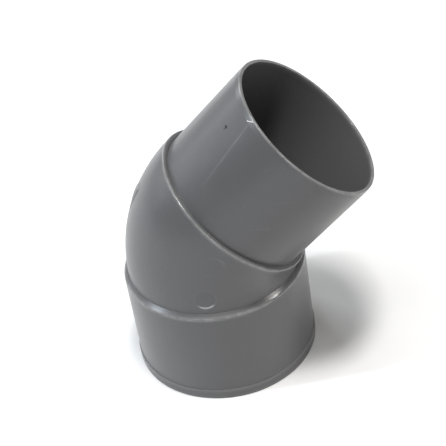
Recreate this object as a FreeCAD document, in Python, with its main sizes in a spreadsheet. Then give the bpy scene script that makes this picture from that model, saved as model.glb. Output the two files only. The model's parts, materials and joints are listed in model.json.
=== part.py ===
import FreeCAD, Part

# A 45 degree elbow for solvent-welded pipe: a plain socket at the foot, a bend, and a plain spigot
# of the pipe's own outer size at the top.  The real piece is one moulding.  It is divided here
# where its form changes, and every piece takes its sizes from the one sheet of dimensions.
#
# Frame: origin at the centre of the socket mouth, +Z up the socket's axis, the spigot leaning
# towards +X in the XZ plane.  Millimetres and degrees.

import math
import os

import Sketcher

OUTPUT_FOLDER = "parts"
SHEET_NAME = "Dimensions"

# alias, value, what the value is
SHEET_ROWS = [
    ("spigot_radius", 25.0, "outer radius of the spigot, equal to the pipe's"),
    ("bore_clearance", 0.15, "radial room between a pipe and the socket wall"),
    ("socket_wall", 2.85, "wall of the socket sleeve"),
    ("socket_depth", 30.6, "socket mouth to the pipe stop"),
    ("stop_root", 0.4, "how far the pipe stop is rooted in the socket's wall"),
    ("mouth_chamfer", 0.5, "edge break at the socket's entry"),
    ("lip_height", 3.6, "height of the band round the mouth"),
    ("lip_proud", 0.3, "how far that band stands out from the sleeve"),
    ("lip_round", 0.35, "rounding of the band's foot"),
    ("shoulder_rise", 1.8, "pipe stop to the shoulder's outer edge"),
    ("shoulder_slope", 1.25, "height of the slope from there to the bend"),
    ("shoulder_round", 0.6, "rounding of the shoulder's outer edge"),
    ("spigot_wall", 1.6, "wall of the spigot at its root"),
    ("bend_wall", 3.2, "wall of the bend"),
    ("throat_radius", 1.5, "radius the bend's surface turns through on its inner side"),
    ("bend_angle", 45.0, "turn of the bend"),
    ("ledge_length", 1.9, "straight collar between the bend and the ledge"),
    ("ledge_round", 0.45, "rounding of the ledge's outer edge"),
    ("spigot_length", 33.5, "ledge to the spigot's rim"),
    ("spigot_flare", 0.3, "fillet size at the spigot's root"),
    ("spigot_draft", 0.5, "growth of the spigot's inner radius from root to rim"),
    ("lead_in_length", 1.75, "length of the taper at the rim"),
    ("lead_in_taper", 0.2, "radius lost over that taper"),
    ("mark_radius", 3.4, "radius of the round tool mark above the shoulder"),
    ("mark_depth", 0.28, "depth of that mark at its middle"),
    ("mark_height", 5.35, "shoulder's top to the mark's centre"),
    ("mark_offset", 0.8, "how far the mark's centre lies to the -X side"),
    ("gate_start", 23.0, "bend angle where the gate vestige starts"),
    ("gate_sweep", 9.0, "bend angle the gate vestige covers"),
    ("gate_width", 3.6, "width of the gate vestige"),
    ("gate_proud", 0.5, "how far the gate vestige stands out"),
    ("gate_chamfer", 0.4, "edge break at the vestige's lower end"),
]


class Size:
    """A value together with the sheet formula that gives it."""

    def __init__(self, value, text):
        self.value = float(value)
        self.text = text

    def __add__(self, other):
        return Size(self.value + other.value, f"({self.text} + {other.text})")

    def __sub__(self, other):
        return Size(self.value - other.value, f"({self.text} - {other.text})")

    def __mul__(self, other):
        return Size(self.value * other.value, f"({self.text} * {other.text})")

    def __truediv__(self, other):
        return Size(self.value / other.value, f"({self.text} / {other.text})")


def sine(angle):
    return Size(math.sin(math.radians(angle.value)), f"sin({angle.text})")


def cosine(angle):
    return Size(math.cos(math.radians(angle.value)), f"cos({angle.text})")


def make_sheet(doc):
    """Writes the dimensions to the document's sheet and gives them back by alias."""
    sheet = doc.addObject("Spreadsheet::Sheet", SHEET_NAME)
    sizes = {}
    for row, (alias, value, meaning) in enumerate(SHEET_ROWS, start=1):
        sheet.set(f"A{row}", alias)
        sheet.set(f"B{row}", str(value))
        sheet.setAlias(f"B{row}", alias)
        sheet.set(f"C{row}", meaning)
        sizes[alias] = Size(value, f"{SHEET_NAME}.{alias}")
    doc.recompute()
    return sizes


def derive(sizes):
    """Adds the sizes that follow from the ones in the sheet."""
    sizes["zero"] = Size(0, "0")
    sizes["one"] = Size(1, "1")
    sizes["bore_radius"] = sizes["spigot_radius"] + sizes["bore_clearance"]
    sizes["sleeve_radius"] = sizes["bore_radius"] + sizes["socket_wall"]
    sizes["lip_radius"] = sizes["sleeve_radius"] + sizes["lip_proud"]
    sizes["stop_radius"] = sizes["bore_radius"] + sizes["stop_root"]
    sizes["waterway_radius"] = sizes["spigot_radius"] - sizes["spigot_wall"]
    sizes["outer_radius"] = sizes["waterway_radius"] + sizes["bend_wall"]
    sizes["bend_radius"] = sizes["outer_radius"] + sizes["throat_radius"]
    sizes["shoulder_height"] = sizes["shoulder_rise"] + sizes["shoulder_slope"]
    sizes["bend_foot"] = sizes["socket_depth"] + sizes["shoulder_height"]
    sizes["tube_length"] = sizes["spigot_length"] - sizes["lead_in_length"]
    sizes["rim_bore"] = sizes["waterway_radius"] + sizes["spigot_draft"]
    sizes["lead_in_bore"] = (
        sizes["waterway_radius"]
        + sizes["spigot_draft"] * sizes["tube_length"] / sizes["spigot_length"]
    )
    return sizes


def origin_plane(body, role):
    """The body's own origin plane of that role."""
    for feature in body.Origin.OriginFeatures:
        if feature.Role == role:
            return feature
    raise ValueError(f"{body.Label} has no {role}")


def new_body(doc, name):
    body = doc.addObject("PartDesign::Body", name)
    body.Label = name
    return body


def new_sketch(body, name, role):
    """An empty sketch on one of the body's own planes."""
    sketch = body.newObject("Sketcher::SketchObject", name)
    sketch.AttachmentSupport = [(origin_plane(body, role), "")]
    sketch.MapMode = "FlatFace"
    return sketch


def fix_coordinate(sketch, kind, geometry, point, size):
    """Holds one coordinate of a point, counted from the sketch's origin, to a size."""
    if size.text == "0":
        axis = -2 if kind == "DistanceX" else -1
        sketch.addConstraint(Sketcher.Constraint("PointOnObject", geometry, point, axis))
        return
    index = sketch.addConstraint(
        Sketcher.Constraint(kind, -1, 1, geometry, point, size.value)
    )
    sketch.setExpression(f"Constraints[{index}]", size.text)


def add_outline(sketch, corners):
    """A closed outline of straight lines through corners given as pairs of sizes."""
    points = [FreeCAD.Vector(u.value, v.value, 0) for u, v in corners]
    count = len(points)
    for i in range(count):
        line = Part.LineSegment(points[i], points[(i + 1) % count])
        sketch.addGeometry(line, False)
    for i in range(count):
        following = (i + 1) % count
        sketch.addConstraint(Sketcher.Constraint("Coincident", i, 2, following, 1))
    for i, (u, v) in enumerate(corners):
        fix_coordinate(sketch, "DistanceX", i, 1, u)
        fix_coordinate(sketch, "DistanceY", i, 1, v)


def add_circle(sketch, radius):
    """A circle about the sketch's origin."""
    circle = Part.Circle(FreeCAD.Vector(), FreeCAD.Vector(0, 0, 1), radius.value)
    geometry = sketch.addGeometry(circle, False)
    sketch.addConstraint(Sketcher.Constraint("Coincident", geometry, 3, -1, 1))
    index = sketch.addConstraint(
        Sketcher.Constraint("Radius", geometry, radius.value)
    )
    sketch.setExpression(f"Constraints[{index}]", radius.text)
    return geometry


def add_bend_axis(sketch, sizes):
    """The line the bend turns about, parallel to Y at the bend's radius."""
    reach = sizes["outer_radius"].value
    across = sizes["bend_radius"].value
    line = Part.LineSegment(
        FreeCAD.Vector(across, -reach, 0), FreeCAD.Vector(across, reach, 0)
    )
    axis = sketch.addGeometry(line, True)
    fix_coordinate(sketch, "DistanceX", axis, 1, sizes["bend_radius"])
    sketch.addConstraint(Sketcher.Constraint("Symmetric", axis, 1, axis, 2, -1))
    length = sketch.addConstraint(Sketcher.Constraint("Distance", axis, 2 * reach))
    sketch.setExpression(f"Constraints[{length}]", f"2 * {sizes['outer_radius'].text}")


def revolve_profile(body, name, corners):
    """A ring whose half section, as (radius, height) corners, turns about the body's Z axis."""
    sketch = new_sketch(body, f"{name}_section", "XZ_Plane")
    add_outline(sketch, corners)
    ring = body.newObject("PartDesign::Revolution", f"{name}_turned")
    ring.Profile = sketch
    ring.ReferenceAxis = (sketch, ["V_Axis"])
    ring.Angle = 360.0
    body.Tip = ring
    return ring


def pad_annulus(body, name, inner, outer, height):
    """A plain tube standing on the body's XY plane."""
    sketch = new_sketch(body, f"{name}_section", "XY_Plane")
    add_circle(sketch, outer)
    add_circle(sketch, inner)
    tube = body.newObject("PartDesign::Pad", f"{name}_tube")
    tube.Profile = sketch
    tube.Length = height.value
    tube.setExpression("Length", height.text)
    body.Tip = tube
    return tube


def ring_edges(shape, radius, height):
    """Names of the circular edges about Z that have this radius and height."""
    names = []
    for index, edge in enumerate(shape.Edges, start=1):
        curve = edge.Curve
        if not isinstance(curve, Part.Circle):
            continue
        same_radius = abs(curve.Radius - radius.value) < 1e-4
        same_height = abs(curve.Center.z - height.value) < 1e-4
        if same_radius and same_height:
            names.append(f"Edge{index}")
    if not names:
        raise ValueError(f"no edge of radius {radius.value} at height {height.value}")
    return names


def round_ring_edge(doc, body, feature, name, radius, height, rounding):
    """Rounds the edge of the feature that lies at this radius and height."""
    doc.recompute()
    fillet = body.newObject("PartDesign::Fillet", name)
    fillet.Base = (feature, ring_edges(feature.Shape, radius, height))
    fillet.Radius = rounding.value
    fillet.setExpression("Radius", rounding.text)
    body.Tip = fillet
    return fillet


def raise_body(body, height):
    """Places the body on the socket's axis at this height."""
    body.Placement = FreeCAD.Placement(
        FreeCAD.Vector(0, 0, height.value), FreeCAD.Rotation()
    )
    body.setExpression("Placement.Base.z", height.text)


def place_on_bend(body, sizes, angle, beyond):
    """Puts the body's origin on the bend's centre line at this angle, then this far straight on."""
    across = (
        sizes["bend_radius"] * (sizes["one"] - cosine(angle)) + beyond * sine(angle)
    )
    up = (
        sizes["bend_foot"] + sizes["bend_radius"] * sine(angle) + beyond * cosine(angle)
    )
    turn = FreeCAD.Rotation(FreeCAD.Vector(0, 1, 0), angle.value)
    body.Placement = FreeCAD.Placement(FreeCAD.Vector(across.value, 0, up.value), turn)
    body.setExpression("Placement.Base.x", across.text)
    body.setExpression("Placement.Base.z", up.text)
    body.setExpression("Placement.Rotation.Angle", angle.text)


def make_mouth_band(doc, sizes):
    """The slightly thicker band round the socket's mouth, with its entry edge broken."""
    body = new_body(doc, "socket_mouth_band")
    bore = sizes["bore_radius"]
    lip = sizes["lip_radius"]
    corners = [
        (bore + sizes["mouth_chamfer"], sizes["zero"]),
        (lip, sizes["zero"]),
        (lip, sizes["lip_height"] - sizes["lip_proud"]),
        (sizes["sleeve_radius"], sizes["lip_height"]),
        (bore, sizes["lip_height"]),
        (bore, sizes["mouth_chamfer"]),
    ]
    ring = revolve_profile(body, "band", corners)
    round_ring_edge(doc, body, ring, "band_foot", lip, sizes["zero"], sizes["lip_round"])
    return body


def make_sleeve(doc, sizes):
    """The socket's cylindrical wall, from the band to the pipe stop."""
    body = new_body(doc, "socket_sleeve")
    pad_annulus(
        body,
        "sleeve",
        sizes["bore_radius"],
        sizes["sleeve_radius"],
        sizes["socket_depth"] - sizes["lip_height"],
    )
    raise_body(body, sizes["lip_height"])
    return body


def make_pipe_stop(doc, sizes):
    """The inner ring the pipe's end comes to rest against."""
    body = new_body(doc, "pipe_stop_ring")
    pad_annulus(
        body,
        "stop",
        sizes["waterway_radius"],
        sizes["stop_radius"],
        sizes["shoulder_height"],
    )
    raise_body(body, sizes["socket_depth"])
    return body


def make_shoulder(doc, sizes):
    """The outer step from the socket's size in to the bend's, with a rounded edge."""
    body = new_body(doc, "shoulder_ring")
    sleeve = sizes["sleeve_radius"]
    corners = [
        (sizes["stop_radius"], sizes["zero"]),
        (sleeve, sizes["zero"]),
        (sleeve, sizes["shoulder_rise"]),
        (sizes["outer_radius"], sizes["shoulder_height"]),
        (sizes["stop_radius"], sizes["shoulder_height"]),
    ]
    ring = revolve_profile(body, "shoulder", corners)
    round_ring_edge(
        doc,
        body,
        ring,
        "shoulder_edge",
        sleeve,
        sizes["shoulder_rise"],
        sizes["shoulder_round"],
    )
    raise_body(body, sizes["socket_depth"])
    return body


def make_bend(doc, sizes):
    """The bent tube, with the shallow flat-floored tool mark on its front."""
    body = new_body(doc, "bend_shell")
    section = new_sketch(body, "bend_section", "XY_Plane")
    add_circle(section, sizes["outer_radius"])
    add_circle(section, sizes["waterway_radius"])
    add_bend_axis(section, sizes)
    bend = body.newObject("PartDesign::Revolution", "bend_turned")
    bend.Profile = section
    bend.ReferenceAxis = (section, ["Axis0"])
    bend.Angle = sizes["bend_angle"].value
    bend.setExpression("Angle", sizes["bend_angle"].text)
    body.Tip = bend
    doc.recompute()
    whole = bend.Shape.Volume

    floor = sizes["outer_radius"] - sizes["mark_depth"]
    mark = new_sketch(body, "mark_outline", "XZ_Plane")
    mark.AttachmentOffset = FreeCAD.Placement(
        FreeCAD.Vector(0, 0, floor.value), FreeCAD.Rotation()
    )
    mark.setExpression("AttachmentOffset.Base.z", floor.text)
    centre = FreeCAD.Vector(-sizes["mark_offset"].value, sizes["mark_height"].value, 0)
    circle = Part.Circle(centre, FreeCAD.Vector(0, 0, 1), sizes["mark_radius"].value)
    disc = mark.addGeometry(circle, False)
    radius = mark.addConstraint(
        Sketcher.Constraint("Radius", disc, sizes["mark_radius"].value)
    )
    mark.setExpression(f"Constraints[{radius}]", sizes["mark_radius"].text)
    fix_coordinate(mark, "DistanceY", disc, 3, sizes["mark_height"])
    aside = mark.addConstraint(
        Sketcher.Constraint("DistanceX", disc, 3, -1, 1, sizes["mark_offset"].value)
    )
    mark.setExpression(f"Constraints[{aside}]", sizes["mark_offset"].text)

    recess = body.newObject("PartDesign::Pocket", "mark_recess")
    recess.Profile = mark
    recess.Type = "Length"
    recess.Length = sizes["bend_wall"].value
    recess.setExpression("Length", sizes["bend_wall"].text)
    recess.Reversed = True
    body.Tip = recess
    doc.recompute()
    if not 0 < whole - recess.Shape.Volume < 0.01 * whole:
        raise ValueError("the tool mark does not cut the bend's front")
    raise_body(body, sizes["bend_foot"])
    return body


def make_ledge(doc, sizes):
    """The straight collar that ends in the ledge a socket's mouth comes up to."""
    body = new_body(doc, "ledge_collar")
    outer = sizes["outer_radius"]
    tube = pad_annulus(
        body, "ledge", sizes["waterway_radius"], outer, sizes["ledge_length"]
    )
    round_ring_edge(
        doc, body, tube, "ledge_edge", outer, sizes["ledge_length"], sizes["ledge_round"]
    )
    place_on_bend(body, sizes, sizes["bend_angle"], sizes["zero"])
    return body


def make_spigot(doc, sizes):
    """The spigot's wall: a true cylinder outside, drafted open towards the rim inside."""
    body = new_body(doc, "spigot_tube")
    spigot = sizes["spigot_radius"]
    corners = [
        (sizes["waterway_radius"], sizes["zero"]),
        (spigot + sizes["spigot_flare"], sizes["zero"]),
        (spigot, sizes["spigot_flare"]),
        (spigot, sizes["tube_length"]),
        (sizes["lead_in_bore"], sizes["tube_length"]),
    ]
    revolve_profile(body, "spigot", corners)
    place_on_bend(body, sizes, sizes["bend_angle"], sizes["ledge_length"])
    return body


def make_lead_in(doc, sizes):
    """The tapered end of the spigot, up to the rim."""
    body = new_body(doc, "spigot_lead_in")
    spigot = sizes["spigot_radius"]
    corners = [
        (sizes["lead_in_bore"], sizes["zero"]),
        (spigot, sizes["zero"]),
        (spigot - sizes["lead_in_taper"], sizes["lead_in_length"]),
        (sizes["rim_bore"], sizes["lead_in_length"]),
    ]
    revolve_profile(body, "lead_in", corners)
    beyond = sizes["ledge_length"] + sizes["tube_length"]
    place_on_bend(body, sizes, sizes["bend_angle"], beyond)
    return body


def make_gate_vestige(doc, sizes):
    """The trimmed stub of the gate, lying along the outside of the bend."""
    body = new_body(doc, "gate_vestige")
    section = new_sketch(body, "gate_section", "XY_Plane")
    outer = sizes["outer_radius"].value
    half = sizes["gate_width"].value / 2
    far = outer + sizes["gate_proud"].value
    near = math.sqrt(outer**2 - half**2)
    spread = math.asin(half / outer)
    circle = Part.Circle(FreeCAD.Vector(), FreeCAD.Vector(0, 0, 1), outer)
    seat = section.addGeometry(
        Part.ArcOfCircle(circle, math.pi - spread, math.pi + spread), False
    )
    outline = [
        FreeCAD.Vector(-near, -half, 0),
        FreeCAD.Vector(-far, -half, 0),
        FreeCAD.Vector(-far, half, 0),
        FreeCAD.Vector(-near, half, 0),
    ]
    below, back, above = [
        section.addGeometry(Part.LineSegment(outline[i], outline[i + 1]), False)
        for i in range(3)
    ]
    section.addConstraint(Sketcher.Constraint("Coincident", seat, 2, below, 1))
    section.addConstraint(Sketcher.Constraint("Coincident", below, 2, back, 1))
    section.addConstraint(Sketcher.Constraint("Coincident", back, 2, above, 1))
    section.addConstraint(Sketcher.Constraint("Coincident", above, 2, seat, 1))
    section.addConstraint(Sketcher.Constraint("Coincident", seat, 3, -1, 1))
    section.addConstraint(Sketcher.Constraint("Symmetric", back, 1, back, 2, -1))
    section.addConstraint(Sketcher.Constraint("Horizontal", below))
    section.addConstraint(Sketcher.Constraint("Horizontal", above))
    sized = [
        (Sketcher.Constraint("Radius", seat, outer), sizes["outer_radius"]),
        (Sketcher.Constraint("Distance", back, 2 * half), sizes["gate_width"]),
        (
            Sketcher.Constraint("DistanceX", back, 1, -1, 1, far),
            sizes["outer_radius"] + sizes["gate_proud"],
        ),
    ]
    for constraint, size in sized:
        index = section.addConstraint(constraint)
        section.setExpression(f"Constraints[{index}]", size.text)
    add_bend_axis(section, sizes)

    stub = body.newObject("PartDesign::Revolution", "gate_turned")
    stub.Profile = section
    stub.ReferenceAxis = (section, ["Axis0"])
    stub.Angle = sizes["gate_sweep"].value
    stub.setExpression("Angle", sizes["gate_sweep"].text)
    body.Tip = stub
    doc.recompute()

    chamfer = body.newObject("PartDesign::Chamfer", "gate_foot")
    chamfer.Base = (stub, lower_outer_edge(stub.Shape, far))
    chamfer.Size = sizes["gate_chamfer"].value
    chamfer.setExpression("Size", sizes["gate_chamfer"].text)
    body.Tip = chamfer
    place_on_bend(body, sizes, sizes["gate_start"], sizes["zero"])
    return body


def lower_outer_edge(shape, far):
    """Name of the edge on the section plane that lies furthest out from the bend."""
    for index, edge in enumerate(shape.Edges, start=1):
        box = edge.BoundBox
        if box.ZMax < 1e-6 and abs(box.XMin + far) < 1e-6 and box.XLength < 1e-6:
            return [f"Edge{index}"]
    raise ValueError("the gate vestige has no lower outer edge")


def check_document(doc, bodies):
    """Stops if any object failed or any piece is not one closed, valid solid."""
    for item in doc.Objects:
        if "Invalid" in item.State or "Error" in item.State:
            raise RuntimeError(f"{item.Label} failed: {item.State}")
    for body in bodies:
        shape = body.Shape
        if shape.isNull() or not shape.isValid() or len(shape.Solids) != 1:
            raise RuntimeError(f"{body.Label} is not one valid solid")


def main():
    doc = FreeCAD.newDocument("elbow")
    sizes = derive(make_sheet(doc))
    makers = [
        make_mouth_band,
        make_sleeve,
        make_pipe_stop,
        make_shoulder,
        make_bend,
        make_ledge,
        make_spigot,
        make_lead_in,
        make_gate_vestige,
    ]
    bodies = [make(doc, sizes) for make in makers]
    doc.recompute()
    check_document(doc, bodies)
    os.makedirs(OUTPUT_FOLDER, exist_ok=True)
    for body in bodies:
        body.Shape.exportStep(os.path.join(OUTPUT_FOLDER, f"{body.Label}.step"))


main()
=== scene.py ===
"""A 45 degree PVC pipe elbow: socket, bend and spigot, as moulded, on a pale floor."""

import json
import math
from typing import NamedTuple

import bmesh
import bpy
from bpy.props import FloatProperty, FloatVectorProperty, IntProperty, PointerProperty
from mathutils import Matrix, Vector, noise


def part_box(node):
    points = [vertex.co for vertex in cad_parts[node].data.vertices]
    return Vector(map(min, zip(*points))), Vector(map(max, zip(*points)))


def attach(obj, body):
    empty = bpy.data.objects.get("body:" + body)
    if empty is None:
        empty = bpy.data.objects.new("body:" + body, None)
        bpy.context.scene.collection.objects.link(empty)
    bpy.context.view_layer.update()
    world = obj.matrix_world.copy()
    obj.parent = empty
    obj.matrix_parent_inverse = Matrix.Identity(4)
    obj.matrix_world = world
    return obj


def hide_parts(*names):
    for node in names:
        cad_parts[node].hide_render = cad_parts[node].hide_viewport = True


bl_info = {
    "name": "PVC pipe elbow",
    "version": (1, 0, 0),
    "blender": (4, 5, 0),
    "location": "3D View > Sidebar > Elbow",
    "description": "Builds a moulded PVC pipe elbow on its CAD frame, with its finish and a studio",
    "category": "Object",
}

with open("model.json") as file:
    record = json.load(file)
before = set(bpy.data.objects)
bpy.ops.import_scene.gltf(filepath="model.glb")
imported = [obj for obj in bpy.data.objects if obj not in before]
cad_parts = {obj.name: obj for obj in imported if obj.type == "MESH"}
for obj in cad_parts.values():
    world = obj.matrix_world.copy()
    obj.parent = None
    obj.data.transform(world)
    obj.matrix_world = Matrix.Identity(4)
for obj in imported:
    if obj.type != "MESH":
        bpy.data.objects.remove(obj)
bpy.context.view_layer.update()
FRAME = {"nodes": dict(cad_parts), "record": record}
BODY = "root"
MM = 0.001
COLLECTION = "Elbow"


# ---------------------------------------------------------------- the CAD frame's own sizes


def mount(name):
    """The record's mount of that name."""
    for entry in FRAME["record"]["mounts"]:
        if entry["name"] == name:
            return entry
    raise ValueError(f"the record has no mount named {name}")


def reach(node, direction):
    """Lowest and highest reach of a CAD node along a direction from the origin."""
    distances = [v.co.dot(direction) for v in FRAME["nodes"][node].data.vertices]
    return min(distances), max(distances)


def bore_of(node):
    """Inner radius of a CAD ring that stands about the vertical axis."""
    return min(v.co.xy.length for v in FRAME["nodes"][node].data.vertices)


class CentreLine:
    """The elbow's centre line: up the socket, round the bend and out of the spigot.

    A station is a distance along the line from the socket's mouth. Angles round the line
    start on the outside of the bend and go by the front (-Y) to its inside.
    """

    def __init__(self):
        spigot = mount("spigot")
        self.way = Vector(spigot["axis"]).normalized()
        self.turn = math.atan2(self.way.x, self.way.z)
        shoulder = Vector(spigot["pos_m"])
        crossing = shoulder - self.way * (shoulder.x / self.way.x)
        self.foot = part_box("bend_shell")[0][2]
        tangent = crossing.z - self.foot
        self.radius = tangent / math.tan(self.turn / 2)
        self.bend_end = crossing + self.way * tangent
        self.bend_stop = self.foot + self.radius * self.turn

    def station(self, node, end):
        """Station of a node's lower (0) or upper (1) end on the spigot's straight."""
        along = reach(node, self.way)[end] - self.bend_end.dot(self.way)
        return self.bend_stop + along

    def place(self, radius, station, angle):
        """The point at this radius, station and angle."""
        if station <= self.foot:
            lean = 0.0
            centre = Vector((0, 0, station))
        elif station < self.bend_stop:
            lean = (station - self.foot) / self.radius
            across = self.radius * (1 - math.cos(lean))
            centre = Vector((across, 0, self.foot + self.radius * math.sin(lean)))
        else:
            lean = self.turn
            centre = self.bend_end + self.way * (station - self.bend_stop)
        heel = Vector((-math.cos(lean), 0, math.sin(lean)))
        front = Vector((0, -1, 0))
        return centre + radius * (math.cos(angle) * heel + math.sin(angle) * front)


LINE = CentreLine()


class Radii:
    """Radii and stations read from the CAD frame."""

    bore = mount("socket")["dims"]["r_mm"] * MM
    spigot = mount("spigot")["dims"]["r_mm"] * MM
    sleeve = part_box("socket_sleeve")[1][0]
    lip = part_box("socket_mouth_band")[1][0]
    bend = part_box("ledge_collar")[1][1]
    waterway = bore_of("pipe_stop_ring")
    stop_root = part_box("pipe_stop_ring")[1][0]
    lip_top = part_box("socket_mouth_band")[1][2]
    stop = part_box("pipe_stop_ring")[0][2]
    ledge = LINE.station("spigot_tube", 0)
    lead_in = LINE.station("spigot_lead_in", 0)
    rim = LINE.station("spigot_lead_in", 1)


# ---------------------------------------------------------------- what a user may change


class ElbowSizes(bpy.types.PropertyGroup):
    """Sizes of the small features."""

    mouth_chamfer: FloatProperty(
        name="Mouth edge break",
        description="Edge break at the socket's entry",
        default=0.5 * MM,
        unit="LENGTH",
    )
    lip_round: FloatProperty(
        name="Lip rounding",
        description="Rounding of the mouth band's outer edges",
        default=0.35 * MM,
        unit="LENGTH",
    )
    shoulder_slope: FloatProperty(
        name="Shoulder slope",
        description="Height of the slope from the socket's size to the bend's",
        default=1.25 * MM,
        unit="LENGTH",
    )
    shoulder_round: FloatProperty(
        name="Shoulder rounding",
        description="Rounding of the shoulder's outer edge",
        default=0.6 * MM,
        unit="LENGTH",
    )
    ledge_round: FloatProperty(
        name="Ledge rounding",
        description="Rounding of the ledge's outer edge",
        default=0.3 * MM,
        unit="LENGTH",
    )
    root_fillet: FloatProperty(
        name="Spigot root fillet",
        description="Fillet between the ledge and the spigot",
        default=0.09 * MM,
        unit="LENGTH",
    )
    rim_taper: FloatProperty(
        name="Rim taper",
        description="Radius the spigot loses over its lead-in",
        default=0.12 * MM,
        unit="LENGTH",
    )
    rim_bore_growth: FloatProperty(
        name="Bore growth",
        description="How much wider the spigot's bore is at the rim than at its root",
        default=0.5 * MM,
        unit="LENGTH",
    )
    mark_radius: FloatProperty(
        name="Tool mark radius",
        description="Radius of the round tool mark on the bend's front",
        default=3.4 * MM,
        unit="LENGTH",
    )
    mark_depth: FloatProperty(
        name="Tool mark depth",
        description="Depth of the flat-floored tool mark at its middle",
        default=0.28 * MM,
        unit="LENGTH",
    )
    waviness: FloatProperty(
        name="Surface waviness",
        description="Depth of the slow waves that cooling leaves in the walls",
        default=0.03 * MM,
        unit="LENGTH",
    )
    weld_height: FloatProperty(
        name="Weld line height",
        description="Height of the weld line along the spigot",
        default=0.018 * MM,
        unit="LENGTH",
    )
    columns: IntProperty(
        name="Columns",
        description="Even columns round the centre line, before the finer ones are added",
        default=288,
    )


class ElbowFinish(bpy.types.PropertyGroup):
    """Colours and gloss of the moulded plastic."""

    face: FloatVectorProperty(
        name="Face colour",
        description="Colour of the moulded outer face",
        subtype="COLOR",
        size=3,
        default=(0.092, 0.092, 0.095),
    )
    streak: FloatVectorProperty(
        name="Flow colour",
        description="Colour of the paler flow marks in the plastic",
        subtype="COLOR",
        size=3,
        default=(0.114, 0.114, 0.119),
    )
    bore: FloatVectorProperty(
        name="Bore colour",
        description="Colour of the inner face",
        subtype="COLOR",
        size=3,
        default=(0.092, 0.092, 0.095),
    )
    # Pale colour for worn edges, the weld line and hairlines; on edges and round marks it is also a
    # painted highlight.
    rubbed_and_sheen: FloatVectorProperty(
        name="Rubbed colour",
        description="Colour of edges rubbed in handling",
        subtype="COLOR",
        size=3,
        default=(0.34, 0.34, 0.34),
    )
    whitened: FloatVectorProperty(
        name="Stress white",
        description="Colour of plastic whitened by bending or cutting",
        subtype="COLOR",
        size=3,
        default=(0.85, 0.85, 0.85),
    )
    dirt: FloatVectorProperty(
        name="Speck colour",
        description="Colour of the dark specks",
        subtype="COLOR",
        size=3,
        default=(0.006, 0.006, 0.006),
    )
    gloss: FloatProperty(
        name="Roughness",
        description="Roughness of the moulded face",
        default=0.32,
        min=0,
        max=1,
    )


class ElbowStage(bpy.types.PropertyGroup):
    """Camera, floor and lights."""

    lens: FloatProperty(
        name="Lens", description="Focal length in millimetres", default=110.06
    )
    distance: FloatProperty(
        name="Distance",
        description="Camera to the point looked at",
        default=0.4099,
        unit="LENGTH",
    )
    azimuth: FloatProperty(
        name="Azimuth",
        description="Camera's turn round the elbow",
        default=math.radians(7.88),
        subtype="ANGLE",
    )
    elevation: FloatProperty(
        name="Elevation",
        description="Camera's height over the floor, as an angle",
        default=math.radians(38.28),
        subtype="ANGLE",
    )
    roll: FloatProperty(
        name="Roll",
        description="Camera's turn about its own line of sight",
        default=math.radians(-9.64),
        subtype="ANGLE",
    )
    target: FloatVectorProperty(
        name="Target",
        description="The point looked at",
        default=(4.52 * MM, 0, 45.83 * MM),
        subtype="TRANSLATION",
        size=3,
    )
    floor: FloatVectorProperty(
        name="Floor colour",
        description="Colour of the plain floor",
        subtype="COLOR",
        size=3,
        default=(0.86, 0.86, 0.86),
    )
    light: FloatProperty(
        name="Lamp strength", description="Strength of all the lamps together", default=1.0
    )
    ambient: FloatProperty(
        name="Ambient light", description="Strength of the surroundings", default=0.1
    )


# ---------------------------------------------------------------- outlines and rings


class Corner(NamedTuple):
    """A corner of a ring's outline, and whether the side that follows is an outer face."""

    radius: float
    station: float
    rounding: float = 0.0
    outer: bool = False


class Zone(NamedTuple):
    """A stretch of stations or angles that needs closer points."""

    low: float
    high: float
    step: float


ROW_STEP = 0.9 * MM
ARC_POINTS = 6
THINNEST_WALL = 0.7 * MM


def spaced(low, high, step, zones):
    """Values from low up to but not including high, closer together inside the zones."""
    values = []
    value = low
    while value < high - 0.35 * step:
        values.append(value)
        near = [z.step for z in zones if z.low - 1e-9 <= value < z.high]
        value += min([step, *near])
    return values


def arc_through(before, corner, after):
    """Points of the rounding that replaces a corner."""
    here = Vector((corner.radius, corner.station))
    back = (Vector((before.radius, before.station)) - here).normalized()
    ahead = (Vector((after.radius, after.station)) - here).normalized()
    half = back.angle(ahead) / 2
    middle = here + (back + ahead).normalized() * (corner.rounding / math.sin(half))
    start = here + back * (corner.rounding / math.tan(half))
    end = here + ahead * (corner.rounding / math.tan(half))
    points = []
    for i in range(ARC_POINTS + 1):
        between = start.lerp(end, i / ARC_POINTS) - middle
        points.append(middle + between.normalized() * corner.rounding)
    return points


def ring_outline(corners, zones=()):
    """Closed outline of a ring's wall as (radius, station, kind) points.

    kind is "sharp" on a plain corner, "round" on a rounding, "outer" or "inner" on a side.
    """
    count = len(corners)
    bends = []
    for i, corner in enumerate(corners):
        if corner.rounding:
            after = corners[(i + 1) % count]
            bends.append(arc_through(corners[i - 1], corner, after))
        else:
            bends.append([Vector((corner.radius, corner.station))])
    outline = []
    for i, corner in enumerate(corners):
        kind = "round" if corner.rounding else "sharp"
        outline += [(p.x, p.y, kind) for p in bends[i]]
        start = bends[i][-1]
        end = bends[(i + 1) % count][0]
        length = (end - start).length
        local = []
        if corner.outer and abs(end.y - start.y) > 0.5 * length:
            grow = length / abs(end.y - start.y)
            sign = 1 if end.y > start.y else -1
            for zone in zones:
                low = (zone.low - start.y) * sign * grow
                high = (zone.high - start.y) * sign * grow
                local.append(Zone(min(low, high), max(low, high), zone.step))
        side = "outer" if corner.outer else "inner"
        for reached in spaced(0.0, length, ROW_STEP, local)[1:]:
            p = start.lerp(end, reached / length)
            outline.append((p.x, p.y, side))
    return outline


# ---------------------------------------------------------------- marks left in the surface

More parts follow.
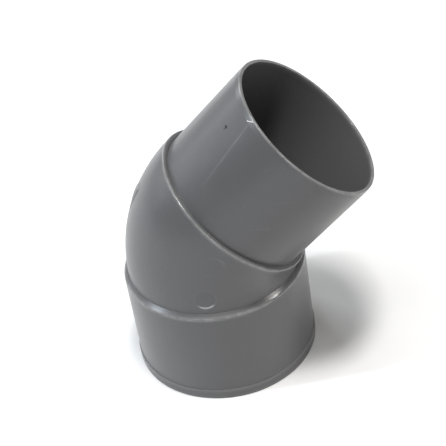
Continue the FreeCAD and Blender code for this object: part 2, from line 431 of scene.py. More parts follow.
MARK_CENTRE = (-0.8 * MM, 39.0 * MM)
MARK_EDGE = 0.2 * MM
MARK_FLASH = 0.025 * MM
MARK_FLASH_HALF_WIDTH = 0.2 * MM
# Width of the painted highlight along the tool mark's lower edge.
MARK_SHEEN_HALF_WIDTH = 0.34 * MM
MARK_INSET = 0.3 * MM
WELD_START = (math.radians(45.4), 6.0 * MM)
WELD_END = (math.radians(37.2), 33.2 * MM)
WELD_HALF_WIDTH = 0.48 * MM
WELD_WANDER = 0.12 * MM
BURR = (math.radians(36.6), 32.3 * MM)
BURR_LEAN = (0.777, 0.63)
BURR_HALF_LENGTH = 1.8 * MM
BURR_HALF_WIDTH = 0.2 * MM
BURR_HEIGHT = 0.12 * MM
PIT = (math.radians(26.66), 24.82 * MM)
PIT_RADIUS = 0.52 * MM
PIT_DEPTH = 0.04 * MM
SECOND_MARK = (3.3 * MM, 51.0 * MM)
SECOND_MARK_RADIUS = 3.35 * MM
SECOND_MARK_HEIGHT = 0.085 * MM
SECOND_MARK_HALF_WIDTH = 0.26 * MM
SECOND_MARK_CLEAREST = math.radians(48)
# Share of the pale edge colour painted on the second mark's ring as a painted highlight.
SECOND_MARK_SHEEN = 0.6
PARTING_HALF_WIDTH = 0.2 * MM
PARTING_HEIGHT = 0.014 * MM


def smooth(value):
    """Smooth step from 0 at 0 to 1 at 1."""
    value = min(max(value, 0.0), 1.0)
    return value * value * (3 - 2 * value)


def bump(distance, half_width):
    """1 on the middle of a ridge, falling smoothly to 0 at its half width."""
    return smooth(1 - abs(distance) / half_width)


def weld_strength(station, angle):
    """How strongly the weld line shows here: it fades towards the ledge."""
    along = station - Radii.ledge
    share = (along - WELD_START[1]) / (WELD_END[1] - WELD_START[1])
    if not -0.05 < share < 1.05:
        return 0.0
    middle = WELD_START[0] + (WELD_END[0] - WELD_START[0]) * share
    wander = WELD_WANDER * noise.noise(Vector((along / (5 * MM), 3.1, 0)))
    aside = (angle - middle) * Radii.spigot + wander
    broken = 0.7 + 0.3 * noise.noise(Vector((along / (2.2 * MM), 7.7, 0)))
    return bump(aside, WELD_HALF_WIDTH) * smooth(share * 2.5) * broken


def burr_strength(station, angle):
    """The small torn flake where the weld line meets the lead-in."""
    along = station - Radii.ledge - BURR[1]
    aside = (angle - BURR[0]) * Radii.spigot
    lengthwise = aside * BURR_LEAN[0] + along * BURR_LEAN[1]
    across = along * BURR_LEAN[0] - aside * BURR_LEAN[1]
    ragged = 1 + 0.5 * noise.noise(Vector((lengthwise / (0.5 * MM), 4.4, 0)))
    taper = 1 - (lengthwise / BURR_HALF_LENGTH) ** 2
    if taper <= 0:
        return 0.0
    return bump(across, BURR_HALF_WIDTH * ragged) * smooth(2 * taper)


def pit_strength(station, angle):
    """The small dark pit on the spigot."""
    along = station - Radii.ledge - PIT[1]
    aside = (angle - PIT[0]) * Radii.spigot
    return smooth(4 * (1 - math.hypot(aside, along) / PIT_RADIUS))


def second_mark_strength(point):
    """The faint ring of a second round mark below the ledge, clearest on one side."""
    if point.y > 0:
        return 0.0
    across, up = point.x - SECOND_MARK[0], point.z - SECOND_MARK[1]
    far = math.hypot(across, up) - SECOND_MARK_RADIUS
    facing = math.cos(math.atan2(up, across) - SECOND_MARK_CLEAREST)
    clearness = 0.12 + 0.88 * smooth(2.2 * facing - 1.2)
    return bump(far, SECOND_MARK_HALF_WIDTH) * clearness


def parting_strength(angle, radius):
    """The witness line of the mould's halves, on the outside and inside of the bend."""
    turned = (angle + math.pi / 2) % math.pi - math.pi / 2
    return bump(turned * radius, PARTING_HALF_WIDTH)


def sink(point, waviness):
    """Slow waves, always inwards, so that nothing stands out of the CAD surface."""
    slow = noise.noise(point / (15 * MM))
    quick = noise.noise(point / (5.5 * MM) + Vector((4.2, 0.3, 9.1)))
    return -waviness * (0.5 + 0.38 * slow + 0.12 * quick)


def flatten_mark(point, sizes):
    """Moves a point on the bend's front into the tool mark's flat floor.

    Returns the painted highlight on the mark's edge there: mostly along its lower side.
    """
    far = math.hypot(point.x - MARK_CENTRE[0], point.z - MARK_CENTRE[1])
    if point.y > 0 or far > sizes.mark_radius + 1.0 * MM:
        return 0.0
    floor = -(Radii.bend - sizes.mark_depth)
    edge = sizes.mark_radius - MARK_INSET
    inside = min(max((edge - far) / MARK_EDGE + 0.5, 0.0), 1.0)
    if point.y < floor:
        point.y += (floor - point.y) * inside
    lower = smooth(2.5 * (MARK_CENTRE[1] - point.z) / sizes.mark_radius - 1.2)
    flash_and_sheen = bump(far - edge - MARK_INSET, MARK_FLASH_HALF_WIDTH) * (0.25 + 0.75 * lower)
    point.y -= MARK_FLASH * flash_and_sheen
    # Painted highlight: the flash and the mark's lower edge take the pale edge colour.
    return 0.5 * flash_and_sheen + 4.0 * lower * bump(far - edge, MARK_SHEEN_HALF_WIDTH)


def bend_zones():
    """Stations on the bend that need closer rows: its two round marks."""
    mark_low = LINE.foot + 1.2 * MM
    second = LINE.foot + 19.5 * MM
    return [
        Zone(mark_low, mark_low + 8.4 * MM, 0.16 * MM),
        Zone(second - 2.4 * MM, second + 2.0 * MM, 0.17 * MM),
    ]


def rim_zones():
    """Stations near the rim that need closer rows: the torn flake."""
    burr = Radii.ledge + BURR[1]
    return [Zone(burr - 1.4 * MM, burr + 1.4 * MM, 0.1 * MM)]


def spigot_zones():
    """Stations on the spigot that need closer rows: the pit and the torn flake."""
    pit = Radii.ledge + PIT[1]
    return [Zone(pit - 0.6 * MM, pit + 0.6 * MM, 0.1 * MM), *rim_zones()]


def column_angles(even):
    """Angles round the centre line, closer together where the marks lie."""
    degree = math.radians(1)
    zones = [
        Zone(0, 0.8 * degree, 0.16 * degree),
        Zone(25.6 * degree, 27.8 * degree, 0.2 * degree),
        Zone(32.5 * degree, 47 * degree, 0.2 * degree),
        Zone(79 * degree, 96 * degree, 0.36 * degree),
        Zone(179.2 * degree, 180.8 * degree, 0.16 * degree),
        Zone(359 * degree, 360 * degree, 0.16 * degree),
    ]
    return spaced(0.0, 2 * math.pi, 2 * math.pi / even, zones)


# ---------------------------------------------------------------- meshes


def elbow_collection():
    """The collection the pieces are kept in."""
    found = bpy.data.collections.get(COLLECTION)
    if found is None:
        found = bpy.data.collections.new(COLLECTION)
        bpy.context.scene.collection.children.link(found)
    return found


def add_piece(name, mesh, nodes):
    """Adds a piece that stands for CAD nodes and rides on the elbow's one body."""
    piece = bpy.data.objects.new(name, mesh)
    elbow_collection().objects.link(piece)
    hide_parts(*nodes)
    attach(piece, BODY)
    return piece


def set_attribute(mesh, name, values):
    """Stores one number per vertex for the materials to read."""
    layer = mesh.attributes.new(name, "FLOAT", "POINT")
    layer.data.foreach_set("value", values)


def ring_mesh(name, outline, angles, sizes, rub_and_sheen):
    """Turns a closed outline along the centre line's angles into a closed wall."""
    bm = bmesh.new()
    rub_and_sheen_values, welds, whites, specks = [], [], [], []
    rings = []
    straight = Radii.ledge + sizes.root_fillet
    for radius, station, kind in outline:
        outer = kind in ("outer", "round") and radius > Radii.waterway + THINNEST_WALL
        ring = []
        for angle in angles:
            point = LINE.place(radius, station, angle)
            out = LINE.place(radius + 1.0, station, angle) - point
            weld = white = speck = flash_and_sheen = 0.0
            lift = 0.0
            if outer:
                lift = sink(point, sizes.waviness)
                lift += PARTING_HEIGHT * parting_strength(angle, radius)
                if station > straight:
                    weld = weld_strength(station, angle)
                    white = burr_strength(station, angle)
                    speck = pit_strength(station, angle)
                    lift += sizes.weld_height * weld + BURR_HEIGHT * white
                    lift -= PIT_DEPTH * speck
                elif LINE.foot < station < LINE.bend_stop:
                    ridge = second_mark_strength(point)
                    lift += SECOND_MARK_HEIGHT * ridge
                    # Painted highlight on the second mark's ring, strongest on its clearest side.
                    flash_and_sheen = SECOND_MARK_SHEEN * ridge
            elif kind == "sharp":
                lift = sink(point, sizes.waviness)
            elif kind == "inner":
                lift = -0.5 * sink(point * 1.3, sizes.waviness)
            point += out * lift
            if outer and LINE.foot < station < LINE.bend_stop:
                flash_and_sheen = max(flash_and_sheen, flatten_mark(point, sizes))
            ring.append(bm.verts.new(point))
            # Roundings take the pale edge colour as wear and painted highlight; the marks take
            # their painted highlight.
            rub_and_sheen_values.append(rub_and_sheen if kind == "round" else flash_and_sheen)
            welds.append(weld)
            whites.append(white)
            specks.append(speck)
        rings.append(ring)
    count = len(angles)
    for i, ring in enumerate(rings):
        following = rings[(i + 1) % len(rings)]
        for j in range(count):
            k = (j + 1) % count
            bm.faces.new((ring[j], ring[k], following[k], following[j]))
    bmesh.ops.recalc_face_normals(bm, faces=bm.faces)
    for face in bm.faces:
        face.smooth = True
    for i, (_, _, kind) in enumerate(outline):
        if kind == "sharp":
            for j in range(count):
                edge = bm.edges.get((rings[i][j], rings[i][(j + 1) % count]))
                edge.smooth = False
    paint_bore(bm, outline, rings)
    mesh = bpy.data.meshes.new(name)
    bm.to_mesh(mesh)
    bm.free()
    set_attribute(mesh, "rubbed_and_sheen", rub_and_sheen_values)
    set_attribute(mesh, "weld_line", welds)
    set_attribute(mesh, "whitened", whites)
    set_attribute(mesh, "speck", specks)
    return mesh


def paint_bore(bm, outline, rings):
    """Gives the faces of the inner wall the second material slot."""
    bm.faces.ensure_lookup_table()
    count = len(rings[0])
    for i in range(len(outline)):
        here = outline[i]
        after = outline[(i + 1) % len(outline)]
        if here[2] in ("inner", "sharp") and after[2] in ("inner", "sharp"):
            along = after[1] - here[1]
            if abs(along) > abs(after[0] - here[0]) and along < 0:
                for j in range(count):
                    bm.faces[i * count + j].material_index = 1


def make_ring(name, corners, zones=(), rub_and_sheen=0.5):
    """Builds one ring-shaped piece with its finish; the last argument is the pale colour on its
    roundings, partly wear and partly painted highlight.
    """
    sizes = bpy.context.scene.elbow_sizes
    outline = ring_outline(corners, zones)
    mesh = ring_mesh(name, outline, column_angles(sizes.columns), sizes, rub_and_sheen)
    mesh.materials.append(moulded_face())
    mesh.materials.append(moulded_bore())
    return add_piece(f"{name}_moulding", mesh, [name])


# ---------------------------------------------------------------- materials

PVC_IOR = 1.53
FLOW_AMOUNT = 0.28
FLOW_DULL = 0.16
HAIRLINES = 0.15
WORN_SMOOTHER = 0.3
RELIEF_STRENGTH = 0.22
RELIEF_HEIGHT = 0.03 * MM


def link(tree, source, target):
    tree.links.new(source, target)


def new_node(tree, kind, **values):
    """A node with its properties and named inputs set."""
    node = tree.nodes.new(kind)
    for key, value in values.items():
        if hasattr(node, key):
            setattr(node, key, value)
        else:
            node.inputs[key.replace("_", " ")].default_value = value
    return node


def new_group(name, inputs, outputs):
    """An empty shader node group with these sockets; gives tree, input and output nodes."""
    tree = bpy.data.node_groups.new(name, "ShaderNodeTree")
    for label, kind, default in inputs:
        socket = tree.interface.new_socket(label, in_out="INPUT", socket_type=kind)
        socket.default_value = default
    for label, kind in outputs:
        tree.interface.new_socket(label, in_out="OUTPUT", socket_type=kind)
    return tree, tree.nodes.new("NodeGroupInput"), tree.nodes.new("NodeGroupOutput")


def mixed(tree, factor, first, second):
    """Mixes two colours by a factor; each may be a socket or a value."""
    node = tree.nodes.new("ShaderNodeMix")
    node.data_type = "RGBA"
    for index, value in ((0, factor), (6, first), (7, second)):
        if isinstance(value, bpy.types.NodeSocket):
            link(tree, value, node.inputs[index])
        else:
            node.inputs[index].default_value = value
    return node.outputs[2]


def ranged(tree, value, low, high, to_low, to_high):
    """Maps a value from one range to another and holds it there."""
    node = new_node(tree, "ShaderNodeMapRange", interpolation_type="SMOOTHSTEP")
    for index, end in enumerate((low, high, to_low, to_high), start=1):
        if isinstance(end, bpy.types.NodeSocket):
            link(tree, end, node.inputs[index])
        else:
            node.inputs[index].default_value = end
    link(tree, value, node.inputs[0])
    return node.outputs[0]


def arithmetic(tree, operation, first, second):
    """One arithmetic step; each side may be a socket or a number."""
    node = new_node(tree, "ShaderNodeMath", operation=operation)
    for index, value in enumerate((first, second)):
        if isinstance(value, bpy.types.NodeSocket):
            link(tree, value, node.inputs[index])
        else:
            node.inputs[index].default_value = value
    return node.outputs[0]


def object_place(tree, stretch=(1, 1, 1), turn=(0, 0, 0)):
    """Coordinates fixed to the elbow, stretched and turned."""
    place = tree.nodes.new("ShaderNodeTexCoord")
    mapping = tree.nodes.new("ShaderNodeMapping")
    mapping.inputs["Scale"].default_value = stretch
    mapping.inputs["Rotation"].default_value = turn
    link(tree, place.outputs["Object"], mapping.inputs["Vector"])
    return mapping.outputs["Vector"]


def noise_texture(tree, vector, scale, detail=2.0, roughness=0.5):
    node = tree.nodes.new("ShaderNodeTexNoise")
    node.inputs["Scale"].default_value = scale
    node.inputs["Detail"].default_value = detail
    node.inputs["Roughness"].default_value = roughness
    link(tree, vector, node.inputs["Vector"])
    return node.outputs["Fac"]


def flow_group():
    """Mottled colour and gloss that the plastic's flow leaves, drawn out along the piece."""
    found = bpy.data.node_groups.get("Flow marks")
    if found:
        return found
    tree, given, result = new_group(
        "Flow marks",
        [
            ("Plain", "NodeSocketColor", (0.1, 0.1, 0.1, 1)),
            ("Streak", "NodeSocketColor", (0.14, 0.14, 0.14, 1)),
            ("Amount", "NodeSocketFloat", 0.5),
            ("Dull", "NodeSocketFloat", 0.05),
        ],
        [("Color", "NodeSocketColor"), ("Gloss change", "NodeSocketFloat")],
    )
    clouds = noise_texture(tree, object_place(tree), 48.0, 3.0, 0.55)
    drawn = noise_texture(
        tree, object_place(tree, (1.0, 1.0, 0.28), (0, math.radians(-20), 0)), 190.0, 4.0
    )
    fine = noise_texture(tree, object_place(tree), 700.0, 1.0, 0.5)
    blend = arithmetic(tree, "ADD", arithmetic(tree, "ADD", clouds, drawn), fine)
    share = arithmetic(tree, "MULTIPLY", blend, given.outputs["Amount"])
    colour = mixed(tree, share, given.outputs["Plain"], given.outputs["Streak"])
    link(tree, colour, result.inputs["Color"])
    uneven = arithmetic(tree, "SUBTRACT", clouds, 0.5)
    change = arithmetic(tree, "MULTIPLY", uneven, given.outputs["Dull"])
    link(tree, change, result.inputs["Gloss change"])
    return tree


def grain_group():
    """Height of the moulded skin: soft orange peel, fine grain and a few hairlines."""
    found = bpy.data.node_groups.get("Moulded skin")
    if found:
        return found
    tree, given, result = new_group(
        "Moulded skin",
        [
            ("Peel", "NodeSocketFloat", 0.5),
            ("Grain", "NodeSocketFloat", 0.3),
            ("Hairlines", "NodeSocketFloat", 0.2),
        ],
        [("Height", "NodeSocketFloat"), ("Scratch", "NodeSocketFloat")],
    )
    peel = noise_texture(tree, object_place(tree), 620.0, 1.5, 0.4)
    grain = noise_texture(tree, object_place(tree), 2600.0, 1.0, 0.5)
    along = noise_texture(
        tree, object_place(tree, (1, 1, 0.02), (0.5, -0.35, 0.2)), 1500.0, 1.0
    )
    across = noise_texture(
        tree, object_place(tree, (0.02, 1, 1), (0.1, 0.6, -0.4)), 1300.0, 1.0
    )
    lines = arithmetic(
        tree,
        "MAXIMUM",
        ranged(tree, along, 0.70, 0.76, 0, 1),
        ranged(tree, across, 0.71, 0.77, 0, 1),
    )
    height = arithmetic(tree, "MULTIPLY", peel, given.outputs["Peel"])
    small = arithmetic(tree, "MULTIPLY", grain, given.outputs["Grain"])
    cut = arithmetic(tree, "MULTIPLY", lines, given.outputs["Hairlines"])
    height = arithmetic(tree, "ADD", height, small)
    height = arithmetic(tree, "SUBTRACT", height, cut)
    link(tree, height, result.inputs["Height"])
    link(tree, cut, result.inputs["Scratch"])
    return tree


def wear_and_sheen_group():
    """Pale worn edges with painted highlights, the weld line, whitened plastic and specks over a
    base colour.
    """
    found = bpy.data.node_groups.get("Handling wear and sheen")
    if found:
        return found
    tree, given, result = new_group(
        "Handling wear and sheen",
        [
            ("Base", "NodeSocketColor", (0.1, 0.1, 0.1, 1)),
            ("Rubbed and sheen", "NodeSocketColor", (0.3, 0.3, 0.3, 1)),
            ("White", "NodeSocketColor", (0.8, 0.8, 0.8, 1)),
            ("Dirt", "NodeSocketColor", (0.01, 0.01, 0.01, 1)),
            ("Rub and sheen amount", "NodeSocketFloat", 0.3),
            ("Line amount", "NodeSocketFloat", 0.4),
            ("Scratch", "NodeSocketFloat", 0.0),
        ],
        [("Color", "NodeSocketColor"), ("Worn", "NodeSocketFloat")],
    )

    def painted(name):
        node = new_node(tree, "ShaderNodeAttribute", attribute_name=name)
        return node.outputs["Fac"]

    patchy = noise_texture(tree, object_place(tree), 420.0, 3.0, 0.65)
    patches = ranged(tree, patchy, 0.35, 0.62, 0.6, 1.0)
    # This mask is partly edge wear and partly painted highlight.
    rub_and_sheen = arithmetic(tree, "MULTIPLY", painted("rubbed_and_sheen"), patches)
    rub_and_sheen = arithmetic(tree, "MULTIPLY", rub_and_sheen, given.outputs["Rub and sheen amount"])
    colour = mixed(tree, rub_and_sheen, given.outputs["Base"], given.outputs["Rubbed and sheen"])
    line = arithmetic(tree, "MULTIPLY", painted("weld_line"), given.outputs["Line amount"])
    colour = mixed(tree, line, colour, given.outputs["Rubbed and sheen"])
    faint = arithmetic(tree, "MULTIPLY", given.outputs["Scratch"], 0.35)
    colour = mixed(tree, faint, colour, given.outputs["Rubbed and sheen"])
    colour = mixed(tree, painted("whitened"), colour, given.outputs["White"])
    colour = mixed(tree, painted("speck"), colour, given.outputs["Dirt"])
    link(tree, colour, result.inputs["Color"])
    link(tree, rub_and_sheen, result.inputs["Worn"])
    return tree


def solid(colour):
    """A colour with full opacity."""
    return (*colour, 1.0)


def plastic(name, plain, streak, roughness, peel, grain, rub_and_sheen, line):
    """A moulded plastic material with flow marks, skin, wear and painted edge highlights at its own
    strengths.
    """
    found = bpy.data.materials.get(name)
    if found:
        return found
    finish = bpy.context.scene.elbow_finish
    material = bpy.data.materials.new(name)
    material.use_nodes = True
    tree = material.node_tree
    shader = tree.nodes["Principled BSDF"]
    shader.inputs["IOR"].default_value = PVC_IOR
    flow = tree.nodes.new("ShaderNodeGroup")
    flow.node_tree = flow_group()
    flow.inputs["Plain"].default_value = solid(plain)
    flow.inputs["Streak"].default_value = solid(streak)
    flow.inputs["Amount"].default_value = FLOW_AMOUNT
    flow.inputs["Dull"].default_value = FLOW_DULL
    skin = tree.nodes.new("ShaderNodeGroup")
    skin.node_tree = grain_group()
    skin.inputs["Peel"].default_value = peel
    skin.inputs["Grain"].default_value = grain
    skin.inputs["Hairlines"].default_value = HAIRLINES
    wear = tree.nodes.new("ShaderNodeGroup")
    wear.node_tree = wear_and_sheen_group()
    wear.inputs["Rubbed and sheen"].default_value = solid(finish.rubbed_and_sheen)
    wear.inputs["White"].default_value = solid(finish.whitened)
    wear.inputs["Dirt"].default_value = solid(finish.dirt)
    wear.inputs["Rub and sheen amount"].default_value = rub_and_sheen
    wear.inputs["Line amount"].default_value = line
    link(tree, flow.outputs["Color"], wear.inputs["Base"])
    link(tree, skin.outputs["Scratch"], wear.inputs["Scratch"])
    link(tree, wear.outputs["Color"], shader.inputs["Base Color"])
    rough = arithmetic(tree, "ADD", flow.outputs["Gloss change"], roughness)
    worn = arithmetic(tree, "MULTIPLY", wear.outputs["Worn"], -WORN_SMOOTHER)
    rough = arithmetic(tree, "ADD", rough, worn)
    link(tree, rough, shader.inputs["Roughness"])
    relief = new_node(tree, "ShaderNodeBump")
    relief.inputs["Strength"].default_value = RELIEF_STRENGTH
    relief.inputs["Distance"].default_value = RELIEF_HEIGHT
    link(tree, skin.outputs["Height"], relief.inputs["Height"])
    link(tree, relief.outputs["Normal"], shader.inputs["Normal"])
    return material


def moulded_face():
    """Outer face of the moulding: polished by the tool, with pale worn edges that also carry
    painted highlights.
    """
    finish = bpy.context.scene.elbow_finish
    return plastic(
        "moulded_pvc_face", finish.face, finish.streak, finish.gloss, 1.0, 0.25, 0.5, 0.24
    )


def moulded_bore():
    """Inner face: duller, from the core."""
    finish = bpy.context.scene.elbow_finish
    return plastic(
        "moulded_pvc_bore", finish.bore, finish.face, finish.gloss + 0.12, 1.3, 0.5, 0.2, 0.0
    )


def trimmed_gate():
    """The gate's trimmed stub: torn, dull and a little whitened."""
    finish = bpy.context.scene.elbow_finish
    return plastic(
        "trimmed_pvc_gate", finish.streak, finish.rubbed_and_sheen, finish.gloss + 0.2, 2.0, 2.5, 0.4, 0.0
    )


# ---------------------------------------------------------------- operators


class ELBOW_OT_socket(bpy.types.Operator):
    """Build the socket: mouth band, sleeve, pipe stop and shoulder"""

    bl_idname = "elbow.socket"
    bl_label = "Socket"

    def execute(self, context):
        sizes = context.scene.elbow_sizes
        proud = Radii.lip - Radii.sleeve
        make_ring(
            "socket_mouth_band",
            [
                Corner(Radii.bore + sizes.mouth_chamfer, 0.0, 0.12 * MM),
                Corner(Radii.lip, 0.0, sizes.lip_round, True),
                Corner(Radii.lip, Radii.lip_top - proud, 0.2 * MM, True),
                Corner(Radii.sleeve, Radii.lip_top),
                Corner(Radii.bore, Radii.lip_top),
                Corner(Radii.bore, sizes.mouth_chamfer, 0.12 * MM),
            ],
        )
        make_ring(
            "socket_sleeve",
            [
                Corner(Radii.bore, Radii.lip_top),
                Corner(Radii.sleeve, Radii.lip_top, outer=True),
                Corner(Radii.sleeve, Radii.stop),
                Corner(Radii.bore, Radii.stop),
            ],
        )
        make_ring(
            "pipe_stop_ring",
            [
                Corner(Radii.waterway, Radii.stop, 0.25 * MM),
                Corner(Radii.stop_root, Radii.stop),
                Corner(Radii.stop_root, LINE.foot),
                Corner(Radii.waterway, LINE.foot),
            ],
        )
        make_ring(
            "shoulder_ring",
            [
                Corner(Radii.stop_root, Radii.stop),
                Corner(Radii.sleeve, Radii.stop, outer=True),
                Corner(
                    Radii.sleeve,
                    LINE.foot - sizes.shoulder_slope,
                    sizes.shoulder_round,
                    True,
                ),
                Corner(Radii.bend, LINE.foot),
                Corner(Radii.stop_root, LINE.foot),
            ],
            # Stronger pale edge colour: wear and a painted highlight along this edge.
            rub_and_sheen=1.1,
        )
        return {"FINISHED"}


class ELBOW_OT_bend(bpy.types.Operator):
    """Build the bend with its tool mark"""

    bl_idname = "elbow.bend"
    bl_label = "Bend"

    def execute(self, context):
        make_ring(
            "bend_shell",
            [
                Corner(Radii.waterway, LINE.foot),
                Corner(Radii.bend, LINE.foot, outer=True),
                Corner(Radii.bend, LINE.bend_stop),
                Corner(Radii.waterway, LINE.bend_stop),
            ],
            zones=bend_zones(),
        )
        return {"FINISHED"}


class ELBOW_OT_gate(bpy.types.Operator):
    """Build the trimmed stub of the gate on the outside of the bend"""

    bl_idname = "elbow.gate"
    bl_label = "Gate vestige"

    ROWS = 40
    COLUMNS = 18
    HEIGHT = 0.48 * MM
    SEAT = 0.06 * MM
    SHARP_FROM = math.radians(38)

    def height_at(self, share, across):
        """Height of the torn top: a long ramp up to a steep end, rough all over."""
        ramp = smooth(share * 1.25) * 0.85 + 0.15
        end = smooth((1 - share) * 14)
        crown = 1 - 0.8 * across * across
        torn = noise.noise(Vector((share * 9.0, across * 2.3, 1.7)))
        fibres = noise.noise(Vector((share * 28.0, across * 7.0, 5.1)))
        rough = 1 + 0.22 * torn + 0.12 * fibres
        return self.HEIGHT * min(ramp * end * crown * rough, 1.0)

    def execute(self, context):
        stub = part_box("gate_vestige")
        width = stub[1][1] - stub[0][1]
        start, stop = self.stations()
        bm = bmesh.new()
        tops, bottoms = [], []
        for i in range(self.ROWS + 1):
            share = i / self.ROWS
            station = start + (stop - start) * share
            ragged = 1 + 0.06 * noise.noise(Vector((share * 11, 2.2, 0)))
            half = 0.5 * width * ragged * (0.8 + 0.2 * smooth(share * 2))
            top, bottom = [], []
            for j in range(self.COLUMNS + 1):
                across = 2 * j / self.COLUMNS - 1
                angle = across * min(half, 0.5 * width) / Radii.bend
                height = self.height_at(share, across)
                top.append(bm.verts.new(LINE.place(Radii.bend + height, station, angle)))
                below = LINE.place(Radii.bend - self.SEAT, station, angle)
                bottom.append(bm.verts.new(below))
            tops.append(top)
            bottoms.append(bottom)
        self.skin(bm, tops, bottoms)
        bmesh.ops.recalc_face_normals(bm, faces=bm.faces)
        mesh = bpy.data.meshes.new("gate_vestige")
        for face in bm.faces:
            face.smooth = True
        bm.to_mesh(mesh)
        bm.free()
        mesh.set_sharp_from_angle(angle=self.SHARP_FROM)
        mesh.materials.append(trimmed_gate())
        add_piece("gate_vestige_stub", mesh, ["gate_vestige"])
        return {"FINISHED"}

    def stations(self):
        """Where the CAD stub starts and stops along the centre line."""
        pivot = Vector((LINE.radius, 0, LINE.foot))
        leans = []
        for vertex in FRAME["nodes"]["gate_vestige"].data.vertices:
            arm = vertex.co - pivot
            leans.append(math.atan2(arm.z, -arm.x))
        return (
            LINE.foot + min(leans) * LINE.radius,
            LINE.foot + max(leans) * LINE.radius,
        )

    def skin(self, bm, tops, bottoms):
        """Closes the stub between its top and bottom grids."""
        rows, columns = self.ROWS, self.COLUMNS
        for i in range(rows):
            for j in range(columns):
                for grid in (tops, bottoms):
                    bm.faces.new(
                        (grid[i][j], grid[i][j + 1], grid[i + 1][j + 1], grid[i + 1][j])
                    )
        for i in range(rows):
            for j in (0, columns):
                bm.faces.new((tops[i][j], tops[i + 1][j], bottoms[i + 1][j], bottoms[i][j]))
        for j in range(columns):
            for i in (0, rows):
                bm.faces.new((tops[i][j], tops[i][j + 1], bottoms[i][j + 1], bottoms[i][j]))


class ELBOW_OT_spigot(bpy.types.Operator):
    """Build the ledge collar and the spigot with its tapered rim"""

    bl_idname = "elbow.spigot"
    bl_label = "Spigot"

    def execute(self, context):
        sizes = context.scene.elbow_sizes
        length = Radii.rim - Radii.ledge
        share = (Radii.lead_in - Radii.ledge) / length
        bore_at_lead_in = Radii.waterway + sizes.rim_bore_growth * share
        make_ring(
            "ledge_collar",
            [
                Corner(Radii.waterway, LINE.bend_stop),
                Corner(Radii.bend, LINE.bend_stop, outer=True),
                Corner(Radii.bend, Radii.ledge, sizes.ledge_round, True),
                Corner(Radii.waterway, Radii.ledge),
            ],
            # Stronger pale edge colour: wear and a painted highlight along this edge.
            rub_and_sheen=1.1,
        )
        fillet = [
            (Radii.spigot + sizes.root_fillet * (1 - math.sin(t)),
             Radii.ledge + sizes.root_fillet * (1 - math.cos(t)))
            for t in (0.0, 0.35, 0.7, 1.05, 1.35)
        ]
        make_ring(
            "spigot_tube",
            [
                Corner(Radii.waterway, Radii.ledge),
                *[Corner(r, s, outer=True) for r, s in fillet],
                Corner(Radii.spigot, Radii.ledge + sizes.root_fillet, outer=True),
                Corner(Radii.spigot, Radii.lead_in),
                Corner(bore_at_lead_in, Radii.lead_in),
            ],
            zones=spigot_zones(),
        )
        make_ring(
            "spigot_lead_in",
            [
                Corner(bore_at_lead_in, Radii.lead_in),
                Corner(Radii.spigot, Radii.lead_in, outer=True),
                Corner(Radii.spigot - sizes.rim_taper, Radii.rim, 0.16 * MM, True),
                Corner(Radii.waterway + sizes.rim_bore_growth, Radii.rim, 0.14 * MM),
            ],
            zones=rim_zones(),
            # Stronger pale edge colour: wear and a painted highlight along this edge.
            rub_and_sheen=1.1,
        )
        return {"FINISHED"}


LAMP_DISTANCE = 1.0


class Lamp(NamedTuple):
    """A lamp panel: where it stands as seen from the elbow, in degrees, and its light."""

    name: str
    turn: float
    lift: float
    power: float
    size: tuple
    colour: tuple


def direction_from(turn, lift):
    """Direction to something turned this far round from the front (-Y) and this high."""
    return Vector(
        (
            math.sin(turn) * math.cos(lift),
            -math.cos(turn) * math.cos(lift),
            math.sin(lift),
        )
    )


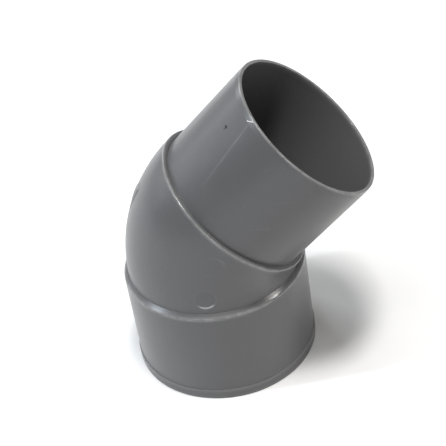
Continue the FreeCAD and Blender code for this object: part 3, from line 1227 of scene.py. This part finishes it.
class ELBOW_OT_stage(bpy.types.Operator):
    """Set up the floor, the lights, the surroundings and the camera"""

    bl_idname = "elbow.stage"
    bl_label = "Stage"

    FLOOR_SIZE = 6.0
    LAMPS = (
        Lamp("overhead", 40, 81, 7.1, (0.22, 0.15), (1.0, 0.985, 0.96)),
        Lamp("overhead_left", -40, 72, 1.7, (0.4, 0.3), (1.0, 0.99, 0.98)),
        Lamp("back_left", -138, 28, 4.2, (0.5, 0.4), (0.94, 0.97, 1.0)),
        Lamp("left_high", -88, 54, 1.6, (0.4, 0.4), (0.94, 0.97, 1.0)),
        Lamp("left_low", -108, 12, 0.6, (0.6, 0.2), (0.94, 0.97, 1.0)),
        Lamp("window", -79, 36, 2.6, (0.03, 0.12), (0.8, 0.9, 1.0)),
        Lamp("right", 80, 41, 1.9, (0.08, 0.08), (1.0, 0.98, 0.94)),
        Lamp("right_low", 96, 14, 0.6, (0.5, 0.25), (1.0, 0.99, 0.95)),
        Lamp("front_ceiling", 5, 52, 0.5, (0.9, 0.2), (1.0, 0.99, 0.97)),
    )

    def execute(self, context):
        scene = context.scene
        stage = scene.elbow_stage
        self.make_floor(scene, stage)
        for lamp in self.LAMPS:
            self.add_light(scene, lamp, stage.light)
        self.make_surroundings(scene, stage)
        self.place_camera(scene, stage)
        scene.view_settings.view_transform = "Standard"
        return {"FINISHED"}

    def make_floor(self, scene, stage):
        """A plain pale floor under the elbow."""
        half = self.FLOOR_SIZE / 2
        mesh = bpy.data.meshes.new("floor")
        corners = [(-half, -half, 0), (half, -half, 0), (half, half, 0), (-half, half, 0)]
        mesh.from_pydata(corners, [], [(0, 1, 2, 3)])
        material = bpy.data.materials.new("floor")
        material.use_nodes = True
        shader = material.node_tree.nodes["Principled BSDF"]
        shader.inputs["Base Color"].default_value = solid(stage.floor)
        shader.inputs["Roughness"].default_value = 0.7
        mesh.materials.append(material)
        floor = bpy.data.objects.new("floor", mesh)
        scene.collection.objects.link(floor)

    def add_light(self, scene, lamp, strength):
        """A soft panel that faces the elbow."""
        light = bpy.data.lights.new(lamp.name, "AREA")
        light.energy = lamp.power * strength
        light.shape = "RECTANGLE"
        light.size, light.size_y = lamp.size
        light.color = lamp.colour
        panel = bpy.data.objects.new(lamp.name, light)
        away = direction_from(math.radians(lamp.turn), math.radians(lamp.lift))
        panel.location = Vector(scene.elbow_stage.target) + away * LAMP_DISTANCE
        panel.rotation_euler = away.to_track_quat("Z", "Y").to_euler()
        scene.collection.objects.link(panel)

    def make_surroundings(self, scene, stage):
        """An even pale room."""
        world = bpy.data.worlds.new("room")
        world.use_nodes = True
        background = world.node_tree.nodes["Background"]
        background.inputs["Color"].default_value = (0.97, 0.985, 1.0, 1.0)
        background.inputs["Strength"].default_value = stage.ambient
        scene.world = world

    def place_camera(self, scene, stage):
        """A camera aimed at the elbow, rolled about its line of sight."""
        lens = bpy.data.cameras.new("camera")
        lens.lens = stage.lens
        lens.sensor_width = 36.0
        lens.clip_start = 0.01
        camera = bpy.data.objects.new("camera", lens)
        turn, lift, roll = stage.azimuth, stage.elevation, stage.roll
        back = direction_from(turn, lift)
        right = Vector((math.cos(turn), math.sin(turn), 0))
        up = back.cross(right)
        across = math.cos(roll) * right + math.sin(roll) * up
        upright = -math.sin(roll) * right + math.cos(roll) * up
        axes = Matrix((across, upright, back)).transposed().to_4x4()
        place = Matrix.Translation(Vector(stage.target) + back * stage.distance)
        camera.matrix_world = place @ axes
        scene.collection.objects.link(camera)
        scene.camera = camera


class ELBOW_PT_parts(bpy.types.Panel):
    """Buttons for the pieces and the values behind them"""

    bl_idname = "ELBOW_PT_parts"
    bl_label = "Pipe elbow"
    bl_space_type = "VIEW_3D"
    bl_region_type = "UI"
    bl_category = "Elbow"

    def draw(self, context):
        layout = self.layout
        for operator in OPERATORS:
            layout.operator(operator.bl_idname)
        scene = context.scene
        for group in (scene.elbow_sizes, scene.elbow_finish, scene.elbow_stage):
            box = layout.box()
            for name in group.__annotations__:
                box.prop(group, name)


OPERATORS = (
    ELBOW_OT_socket,
    ELBOW_OT_bend,
    ELBOW_OT_gate,
    ELBOW_OT_spigot,
    ELBOW_OT_stage,
)
GROUPS = (ElbowSizes, ElbowFinish, ElbowStage)
CLASSES = (*GROUPS, *OPERATORS, ELBOW_PT_parts)


def register():
    for cls in CLASSES:
        bpy.utils.register_class(cls)
    bpy.types.Scene.elbow_sizes = PointerProperty(type=ElbowSizes)
    bpy.types.Scene.elbow_finish = PointerProperty(type=ElbowFinish)
    bpy.types.Scene.elbow_stage = PointerProperty(type=ElbowStage)


def unregister():
    del bpy.types.Scene.elbow_stage
    del bpy.types.Scene.elbow_finish
    del bpy.types.Scene.elbow_sizes
    for cls in reversed(CLASSES):
        bpy.utils.unregister_class(cls)


def plain(box):
    """A box's two corners as lists of numbers."""
    return [[float(value) for value in corner] for corner in box]


def main():
    """Builds every piece and the stage."""
    register()
    bpy.ops.elbow.socket()
    bpy.ops.elbow.bend()
    bpy.ops.elbow.gate()
    bpy.ops.elbow.spigot()
    bpy.ops.elbow.stage()


if __name__ == "__main__":
    main()
